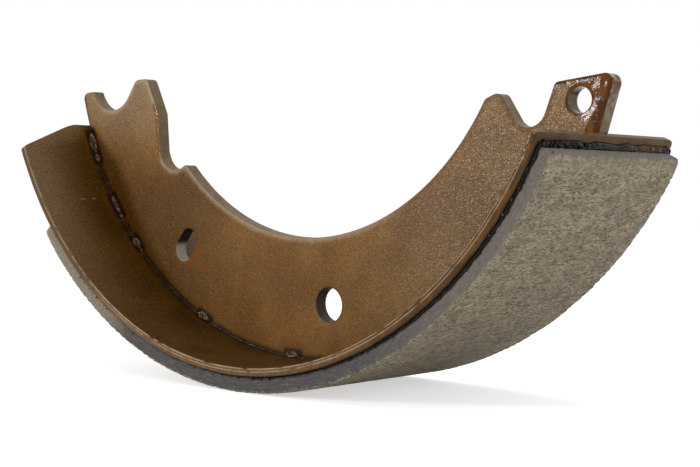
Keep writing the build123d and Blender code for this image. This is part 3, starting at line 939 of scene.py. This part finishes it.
def frictionMix():
    material, tree, surface, place = startMaterial("frictionMix")
    strip = field(tree, "strip", True)
    parts = put(tree, "SeparateXYZ", {0: strip})
    along, height = parts[0], parts[2]
    drawn = scaled(tree, strip, (1.0, 0.3, 1.0))
    longDrawn = scaled(tree, strip, (1.0, 0.06, 1.0))
    face = blend(tree, patches(tree, drawn, 1.5, 0.3, 0.66, 6.0), lining["faceDark"], lining["face"])
    face = tint(tree, face, patches(tree, strip, 0.06, 0.4, 0.62), 0.3, lining["cloud"])
    face = tint(tree, face, patches(tree, longDrawn, 1.6, 0.55, 0.7, 3.0), 0.25, lining["streak"])
    face = tint(tree, face, patches(tree, longDrawn, 0.8, 0.48, 0.64, 3.0), 0.4, lining["darkStreak"])
    lightDash = flecks(tree, drawn, 1.25, 0.22, 0.36, 0.2)
    face = tint(tree, face, lightDash, 0.4, lining["streak"])
    dark = flecks(tree, moved(tree, drawn, (31.0, 17.0, 5.0)), 1.4, 0.5, 0.35, 0.1)
    face = tint(tree, face, dark, 0.9, lining["fleck"])
    small = flecks(tree, moved(tree, drawn, (57.0, 29.0, 9.0)), 2.1, 0.4, 0.36, 0.12)
    face = tint(tree, face, small, 0.75, lining["smallFleck"])
    fine = flecks(tree, strip, 1.9, 0.35, 0.38, 0.2)
    face = tint(tree, face, fine, 0.6, lining["fineFleck"])
    face = tint(tree, face, flecks(tree, strip, 0.9, 0.04, 0.3, 0.1), 0.7, lining["spark"])
    face = tint(tree, face, field(tree, "pit"), 0.35, lining["fleck"])
    leadIn = spread(tree, field(tree, "endDistance"), 6.5, 5.0)
    face = tint(tree, face, leadIn, 0.3, lining["leadInTone"])
    # The sides were cut smooth: tan toward the anchor end, dark blue-grey in the middle, grey toward the lug.
    middle = times(tree, spread(tree, along, 52.0, 72.0), spread(tree, along, 262.0, 185.0))
    side = blend(tree, spread(tree, along, 120.0, 200.0), lining["sideTan"], lining["sideGrey"])
    side = blend(tree, middle, side, lining["sideDark"])
    scratch = scaled(tree, strip, (0.22, 1.0, 1.4))
    side = tint(tree, side, patches(tree, scratch, 1.0, 0.48, 0.66, 6.0), 0.2, lining["scratch"])
    side = tint(tree, side, patches(tree, place, 0.9, 0.5, 0.66, 6.0), 0.25, lining["sideSpot"])
    # Along the foot of each side, a dark ragged band: glue stain, and painted shadow beside the rim's edge.
    side = tint(tree, side, beside(tree, place, height, 1.3, 1.0, 1.2, 0.5), 0.8, lining["glueStainAndShadow"])
    wrap = maths(tree, "ADD", height, times(tree, patches(tree, strip, 0.5, 0.3, 0.7), 0.9))
    onFace = spread(tree, wrap, 5.5, 6.7)
    color = blend(tree, onFace, side, face)
    roughness = spread(tree, patches(tree, place, 0.6, 0.3, 0.7), 0.0, 1.0, 0.78, 0.95)
    grain = fineGrain(tree, drawn, 2.6, 0.7, 1.1, 0.8)
    grain = maths(tree, "SUBTRACT", grain, times(tree, dark, 0.5))
    setSurface(tree, surface, color, roughness, grain, 0.0002)
    surface["Specular IOR Level"].default_value = 0.2
    return material


makeLining(frictionMix())
print("lining done")


# Tubes make the glue beads, weld beads, the lacquer in the root and loose strands.
def lumpyTube(center, sideways, upward, wide, high, around=14):
    # An ellipse carried along a line of points, closed by a single point at each end.
    turn = np.linspace(0, 2 * pi, around, endpoint=False)
    acrossPart = wide[:, :, None] * np.cos(turn)[None, :, None] * sideways[:, None]
    upwardPart = high[:, :, None] * np.sin(turn)[None, :, None] * upward[:, None]
    ring = acrossPart + upwardPart
    body = (center[:, None] + ring).reshape(-1, center.shape[1])
    points = np.concatenate([body, center[:1], center[-1:]])
    rows = len(center)
    faces = gridFaces(rows, around).tolist()
    first, last = rows * around, rows * around + 1
    k = np.arange(around)
    after = (k + 1) % around
    faces += np.stack([after, k, np.full(around, first)], axis=1).tolist()
    base = (rows - 1) * around
    faces += np.stack([base + k, base + after, np.full(around, last)], axis=1).tolist()
    return points, faces


def arcTube(startAngle, endAngle, step, size, seed, around=14, lump=0.3):
    # A lumpy tube along the arc in (angle in mm, across, inward) coordinates, tapered to nothing at both ends.
    length = radians(endAngle - startAngle) * rimInner
    count = max(6, int(length / step))
    t = np.linspace(0, 1, count)
    along = t * length
    ends = np.sqrt(np.clip(np.minimum(along, length - along) / (1.2 * max(size)), 0, 1))
    place = np.stack([np.repeat(along, around), np.tile(np.linspace(0, 2 * pi, around, endpoint=False) * 1.1, count)],
                     axis=1)
    lumps = (1 + lump * waves(place, 3.2, seed) + 0.5 * lump * waves(place, 1.2, seed + 1)).reshape(count, around)
    wide, high = size[0] * lumps * ends[:, None], size[1] * lumps * ends[:, None]
    center = np.stack([along, np.zeros(count), np.zeros(count)], axis=1)
    sideways, upward = np.tile([0, 1.0, 0], (count, 1)), np.tile([0, 0, 1.0], (count, 1))
    return lumpyTube(center, sideways, upward, wide, high, around)


def joinForms(forms):
    # Puts several forms of points and faces into one.
    points, faces, count = [], [], 0
    for formPoints, formFaces in forms:
        points.append(formPoints)
        faces += [[point + count for point in face] for face in formFaces]
        count += len(formPoints)
    return np.concatenate(points), faces


glue = {
    "poolHalf": 39.6,                # half the width of the pool at each end
    "start": -51.7, "end": 63.4,
    "beadSize": (0.42, 0.8),         # how far the squeezed-out bead reaches across and up
    "beadAcross": 40.1,
    "endReach": 2.0, "endHeight": 1.9,
    "bubbles": 34, "crumbs": 70,
    "black": tone(9, 6, 4),
    "brown": tone(34, 20, 8),
    "crust": tone(74, 46, 18),
    "speck": tone(80, 66, 50),
}


def ballForms(centers, sizes, seed):
    # Many small lumpy balls at once: one sphere grid of 6 by 8 points, scaled and moved to each center.
    lift, turn = np.meshgrid(np.linspace(-pi / 2, pi / 2, 6)[1:-1], np.linspace(0, 2 * pi, 8, endpoint=False),
                             indexing="ij")
    sphere = np.stack([np.cos(lift) * np.cos(turn), np.cos(lift) * np.sin(turn), np.sin(lift)],
                      axis=-1).reshape(-1, 3)
    sphere = np.concatenate([sphere, [[0, 0, -1.0], [0, 0, 1.0]]])
    k = np.arange(8)
    after = (k + 1) % 8
    bottom = np.stack([after, k, np.full(8, 32)], axis=1).tolist()
    top = np.stack([24 + k, 24 + after, np.full(8, 33)], axis=1).tolist()
    faces = gridFaces(4, 8).tolist() + bottom + top
    points = centers[:, None] + sphere[None] * sizes[:, None]
    flat = points.reshape(-1, 3)
    lumps = 1 + 0.18 * waves(flat, 0.9, seed)
    points = centers[:, None] + (points - centers[:, None]) * lumps.reshape(len(centers), -1, 1)
    allFaces = [[point + 34 * number for point in face] for number in range(len(centers)) for face in faces]
    return points.reshape(-1, 3), allFaces


def endPool(side):
    # Glue that was pushed out past the lining's end: a fillet across the rim, with bubbles, a pool and a crust.
    # side is 1 at the lug's end and -1 at the anchor end. Coordinates: past the end, across, above the rim.
    half, count = glue["poolHalf"], 150
    across = np.linspace(-half, half, count)
    around = 16
    turn = np.linspace(0, 2 * pi, around, endpoint=False)
    grid = np.stack([np.repeat(across, around), np.tile(turn, len(across))], axis=1)
    crust = smoothStep(across, 8, 14) * smoothStep(across, 36, 30)
    bubbly = smoothStep(across, -10, -16) * smoothStep(across, -40, -36)
    rough = np.repeat(0.03 + 0.1 * crust + 0.04 * bubbly, around)
    lumps = 1 + rough * (waves(grid * [1, 1.6], 3.0, 91) + 0.5 * waves(grid * [1, 1.6], 1.3, 92))
    lumps = lumps.reshape(len(across), around)
    ends = np.sqrt(np.clip((half - np.abs(across)) / 1.5, 0, 1))[:, None]
    wander = 1 + 0.15 * waves(across[:, None], 14, 93 + side)[:, None]
    center = np.stack([np.zeros(count), across, np.zeros(count)], axis=1)
    points, faces = lumpyTube(center, np.tile([1.0, 0, 0], (count, 1)), np.tile([0, 0, 1.0], (count, 1)),
                              glue["endReach"] * lumps * ends * wander, glue["endHeight"] * lumps * ends, around)
    points[:, 0], points[:, 2] = np.maximum(points[:, 0], -0.2), np.maximum(points[:, 2], -0.05)
    return points, faces


def makeGlue(material):
    # A thin film under the whole lining, a lumpy bead along each side of it, crumbs, and a pool at each end.
    length = radians(glue["end"] - glue["start"]) * rimOuter
    along, across, height, faces = bentStrip(
        glue["start"], glue["end"], rimOuter, shoe["bondThickness"], lambda s, total: np.full(len(s), 40.2),
        0.1, 0.1, 0.1, 6, stations(length, 4, 1.0, 2.5))
    film, _ = stripPoints(glue["start"], along, rimOuter, across, rimOuter + height)
    forms = [(film, faces)]
    for side in (-1, 1):
        beadPoints, beadFaces = arcTube(glue["start"], glue["end"], 0.7, glue["beadSize"], 31 + side, 12, 0.4)
        swell = 0.32 + 0.6 * smoothStep(beadPoints[:, 0], 170, 270)
        low = rimOuter + 0.2 + 0.5 * swell + 0.15 * waves(beadPoints[:, :1], 7, 33 + side)
        out = glue["beadAcross"] + beadPoints[:, 1] * (0.7 + 0.5 * swell)
        place, _ = stripPoints(glue["start"], beadPoints[:, 0], rimInner, side * out, low + beadPoints[:, 2] * swell)
        forms.append((place, beadFaces if side > 0 else [face[::-1] for face in beadFaces]))
    for side, end in ((1, lining["end"]), (-1, lining["start"])):
        poolPoints, poolFaces = endPool(side)
        place, _ = stripPoints(end, side * poolPoints[:, 0], rimOuter, poolPoints[:, 1], rimOuter + poolPoints[:, 2])
        forms.append((place, poolFaces if side > 0 else [face[::-1] for face in poolFaces]))
    # Bubbles stand in the pool at the lug's end, and crumbs of glue stick along the near side.
    dice = np.random.default_rng(12)
    count = glue["bubbles"]
    over = np.radians(dice.uniform(25, 65, count))
    spots = np.c_[1.7 * np.cos(over), dice.uniform(-38, -13, count), 2.0 * np.sin(over)]
    place, _ = stripPoints(lining["end"], spots[:, 0], rimOuter, spots[:, 1], rimOuter + spots[:, 2])
    forms.append(ballForms(place, dice.uniform(0.35, 0.75, (count, 1)) * np.ones((1, 3)), 94))
    count = glue["crumbs"]
    where = np.where(np.arange(count) % 3 == 0, dice.uniform(24, 62, count),
                     np.where(np.arange(count) % 3 == 1, dice.uniform(72, 155, count), dice.uniform(200, 300, count)))
    place, _ = stripPoints(lining["start"], where, liningInner, -40.1 - dice.uniform(0, 0.25, count),
                           rimOuter + dice.uniform(0.3, 1.5, count))
    forms.append(ballForms(place, dice.uniform(0.18, 0.5, (count, 1)) * np.array([[1.4, 0.6, 0.8]]), 95))
    points, faces = joinForms(forms)
    crust = np.zeros(len(points))
    atEnd = points[:, 0] > 100
    crust[atEnd] = (smoothStep(points[:, 1], 9, 14) * smoothStep(points[:, 1], 36, 31))[atEnd]
    return addPiece("glueLine", points, faces, material, ["bond_film"], {"crust": crust})


def blackGlue():
    material, tree, surface, place = startMaterial("blackGlue")
    color = blend(tree, patches(tree, place, 0.35, 0.5, 0.7), glue["black"], glue["brown"])
    color = tint(tree, color, flecks(tree, place, 0.8, 0.08), 0.4, glue["speck"])
    crusted = times(tree, field(tree, "crust"), patches(tree, place, 0.7, 0.4, 0.6, 5.0))
    color = blend(tree, crusted, color, glue["crust"])
    roughness = spread(tree, patches(tree, place, 0.5, 0.3, 0.7), 0.0, 1.0, 0.06, 0.14)
    height = fineGrain(tree, place, 1.8, 0.5, 0.6, 0.8)
    setSurface(tree, surface, color, roughness, height, 0.00008)
    surface["Specular IOR Level"].default_value = 0.1
    return material


makeGlue(blackGlue())
print("glue done")

weld = {
    "height": 2.35, "reach": 2.1,
    # Each bead is one or more lobes: place along it in degrees, length in degrees and size.
    "lobes": {1: [(-0.8, 4.4, 1.0), (2.1, 1.9, 0.72)], 2: [(-0.3, 4.2, 0.6), (2.15, 0.9, 0.6)],
              3: [(-0.1, 2.9, 1.0), (1.5, 0.7, 0.5)]},
    "lacquer": tone(54, 31, 6),
    "ridgeGlint": tone(196, 172, 130),
    "crater": tone(138, 116, 86),
    "dark": tone(26, 14, 3),
}


def makeWeld(name, number, angle, sweep, side, seed, material):
    # Lobes in the corner: tubes round the root of which only the open quarter stands out. Each lobe has a raised
    # ring and a shallow crater inside it, by the distance from the middle of its open face.
    around = 28
    forms, rings, craters = [], [], []
    for turn, (offset, length, size) in enumerate(weld["lobes"].get(number, [(0.0, sweep, 0.95)])):
        start, end = angle + offset - length / 2, angle + offset + length / 2
        points, faces = arcTube(start, end, 0.24, (weld["reach"] * size, weld["height"] * size), seed + 7 * turn,
                                around, 0.07)
        along, across, inward = points.T.copy()
        half = radians(length) * rimInner / 2
        over = np.degrees(np.arctan2(inward, across))
        away = np.hypot((along - half) / half, (over - 45) / 45)
        ring, crater = np.exp(-((away - 0.62) / 0.14) ** 2), np.exp(-((away / 0.5) ** 2))
        change = 1 + 0.14 * ring - 0.2 * crater
        across, inward = np.maximum(across * change, -0.2), np.maximum(inward * change, -0.2)
        place, _ = stripPoints(start, along, rimInner, side * (webHalf + across), rimInner - inward)
        forms.append((place, faces if side < 0 else [face[::-1] for face in faces]))
        rings.append(ring)
        craters.append(crater)
    points, faces = joinForms(forms)
    fields = {"ring": np.concatenate(rings), "crater": np.concatenate(craters)}
    return addPiece(name.replace("weld_", "weldBead_"), points, faces, material, [name], fields)


def weldMetal():
    material, tree, surface, place = startMaterial("weldMetal")
    ring, crater = field(tree, "ring"), field(tree, "crater")
    color = blend(tree, patches(tree, place, 0.6, 0.35, 0.65, 4.0), weld["dark"], weld["lacquer"])
    # The pale ridge colour is a painted highlight: glints on each lobe's raised ring, in patches.
    glintPatches = times(tree, ring, patches(tree, place, 0.45, 0.38, 0.55, 3.0))
    color = tint(tree, color, glintPatches, 0.32, weld["ridgeGlint"])
    color = tint(tree, color, crater, 0.06, weld["crater"])
    roughness = spread(tree, patches(tree, place, 1.0, 0.3, 0.7), 0.0, 1.0, 0.1, 0.22)
    height = fineGrain(tree, place, 2.4, 0.3, 0.8, 0.6)
    setSurface(tree, surface, color, roughness, height, 0.0002)
    surface["Specular IOR Level"].default_value = 0.12
    return material


weldLook = weldMetal()
for number, (weldAngle, weldSweep) in enumerate(shoe["welds"], start=1):
    makeWeld(f"weld_front_{number}", number, weldAngle, weldSweep, -1, 40 + number, weldLook)
    makeWeld(f"weld_back_{number}", 0, weldAngle, weldSweep, 1, 60 + number, weldLook)
print("welds done")

root = {"start": -69.6, "end": 64.3, "size": (0.55, 0.5), "dark": tone(22, 12, 3), "amber": tone(60, 34, 8)}


def makeRoot(name, side, seed, material):
    # Lacquer that ran together in the corner between web and rim.
    around = 12
    points, faces = arcTube(root["start"], root["end"], 0.9, root["size"], seed, around, 0.2)
    along, across, inward = points.T.copy()
    across, inward = np.maximum(across, -0.15), np.maximum(inward, -0.15)
    place, _ = stripPoints(root["start"], along, rimInner, side * (webHalf + across), rimInner - inward)
    if side < 0:
        faces = [face[::-1] for face in faces]
    return addPiece(name, place, faces, material)


def poolLacquer():
    material, tree, surface, place = startMaterial("poolLacquer")
    color = blend(tree, patches(tree, place, 0.3, 0.45, 0.7), root["dark"], root["amber"])
    roughness = spread(tree, patches(tree, place, 0.5, 0.3, 0.7), 0.0, 1.0, 0.26, 0.45)
    height = fineGrain(tree, place, 1.5, 0.4, 0.5, 0.5)
    setSurface(tree, surface, color, roughness, height, 0.0001)
    surface["Specular IOR Level"].default_value = 0.16
    return material


rootLook = poolLacquer()
makeRoot("rootLacquerFront", -1, 81, rootLook)
makeRoot("rootLacquerBack", 1, 83, rootLook)
print("root lacquer done")

# Loose white fibres lying on the rubbing face: angle and place across at both ends of each.
strand = {
    "runs": [((59.7, -23.0), (61.0, -20.0)), ((58.7, 7.0), (59.9, 10.7)), ((54.9, 29.3), (54.9, 32.7)),
             ((40.0, -34.6), (40.6, -29.2))],
    "radius": 0.11,
    "color": tone(206, 200, 190),
    "dull": tone(170, 162, 148),
}


def makeStrands(material):
    forms = []
    for number, (start, end) in enumerate(strand["runs"]):
        t = np.linspace(0, 1, 12)[:, None]
        bend = 0.25 * np.sin(pi * t) * (-1) ** number
        angle = start[0] + (end[0] - start[0]) * t[:, 0] + bend[:, 0]
        across = start[1] + (end[1] - start[1]) * t[:, 0]
        center = inPlace(polar(shoe["drumRadius"] - 0.02, angle), across)
        outward = inPlace(polar(shoe["drumRadius"] + 0.98, angle), across) - center
        size = strand["radius"] * np.sqrt(np.clip(4.5 * t * (1 - t), 0, 1))
        run = np.gradient(center, axis=0)
        sideways = np.cross(run, outward)
        sideways /= np.linalg.norm(sideways, axis=1, keepdims=True)
        outward /= np.linalg.norm(outward, axis=1, keepdims=True)
        forms.append(lumpyTube(center, sideways, outward, size, size, 8))
    points, faces = joinForms(forms)
    return addPiece("fibreStrands", points, faces, material, ["lining"])


def whiteFibre():
    material, tree, surface, place = startMaterial("whiteFibre")
    color = blend(tree, patches(tree, place, 1.2, 0.4, 0.6), strand["color"], strand["dull"])
    setSurface(tree, surface, color, 0.6)
    surface["Specular IOR Level"].default_value = 0.3
    return material


makeStrands(whiteFibre())
print("strands done")

# Stage, lights and camera.
stage = {
    "worldLight": 0.55,
    "floorTone": 0.86,
    "floorGlow": 0.55,
    "focalLength": 71.117,
    "cameraPlace": (0.37187, -0.39788, 0.04055),
    "cameraTilt": 88.68,
    "cameraTurn": 42.39,
    # Lamps: place, size and power, all aimed at the shoe's middle.
    "lamps": {
        "keyLamp": ((-0.50, -0.78, 0.24), 0.14, 4.6),
        "sideLamp": ((0.95, -0.30, 0.22), 0.60, 4.2),
        "topLamp": ((0.05, 0.15, 0.90), 0.60, 2.8),
    },
}


def isSeen(tree):
    paths = put(tree, "LightPath")
    return larger(tree, larger(tree, paths["Is Camera Ray"], paths["Is Glossy Ray"]), paths["Is Transmission Ray"])


def makeStage():
    floor = bpy.data.meshes.new("floor")
    reach, low = 3.0, cadLow[2]
    floor.from_pydata([(-reach, -reach, low), (reach, -reach, low), (reach, reach, low), (-reach, reach, low)], [],
                      [(0, 1, 2, 3)])
    material = bpy.data.materials.new("paleFloor")
    material.use_nodes = True
    tree = material.node_tree
    tree.nodes.clear()
    shade = stage["floorTone"]
    diffuse = put(tree, "BsdfDiffuse", {"Color": (shade, shade, shade, 1.0)})[0]
    shine = put(tree, "Emission", {"Color": (1.0, 1.0, 1.0, 1.0), "Strength": stage["floorGlow"]})[0]
    seen = isSeen(tree)
    lift = put(tree, "AddShader", {0: diffuse, 1: shine})[0]
    put(tree, "OutputMaterial", {"Surface": put(tree, "MixShader", {0: seen, 1: diffuse, 2: lift})[0]})
    floor.materials.append(material)
    floorObject = bpy.data.objects.new("floor", floor)
    bpy.context.scene.collection.objects.link(floorObject)

    world = bpy.data.worlds.new("studio")
    bpy.context.scene.world = world
    world.use_nodes = True
    tree = world.node_tree
    tree.nodes.clear()
    seen = isSeen(tree)
    strength = between(tree, seen, stage["worldLight"], 1.0)
    sky = put(tree, "Background", {"Color": (1.0, 1.0, 1.0, 1.0), "Strength": strength})[0]
    put(tree, "OutputWorld", {"Surface": sky})


def makeLamp(name, place, size, power, aim=(0.0, 0.0, 0.03)):
    lamp = bpy.data.lights.new(name, "AREA")
    lamp.shape = "SQUARE"
    lamp.size = size
    lamp.energy = power
    holder = bpy.data.objects.new(name, lamp)
    bpy.context.scene.collection.objects.link(holder)
    holder.location = place
    toward = np.array(aim) - np.array(place)
    flat = np.hypot(toward[0], toward[1])
    holder.rotation_euler = (np.arctan2(flat, -toward[2]), 0, np.arctan2(-toward[0], toward[1]))


def makeCamera():
    lens = bpy.data.cameras.new("camera")
    lens.sensor_width = 36.0
    lens.lens = stage["focalLength"]
    lens.clip_start = 0.01
    camera = bpy.data.objects.new("camera", lens)
    bpy.context.scene.collection.objects.link(camera)
    camera.location = stage["cameraPlace"]
    camera.rotation_euler = (radians(stage["cameraTilt"]), 0, radians(stage["cameraTurn"]))
    bpy.context.scene.camera = camera


makeStage()
for lampName, (lampPlace, lampSize, lampPower) in stage["lamps"].items():
    makeLamp(lampName, lampPlace, lampSize, lampPower)
makeCamera()
bpy.context.scene.view_settings.view_transform = "Standard"
print("stage done")
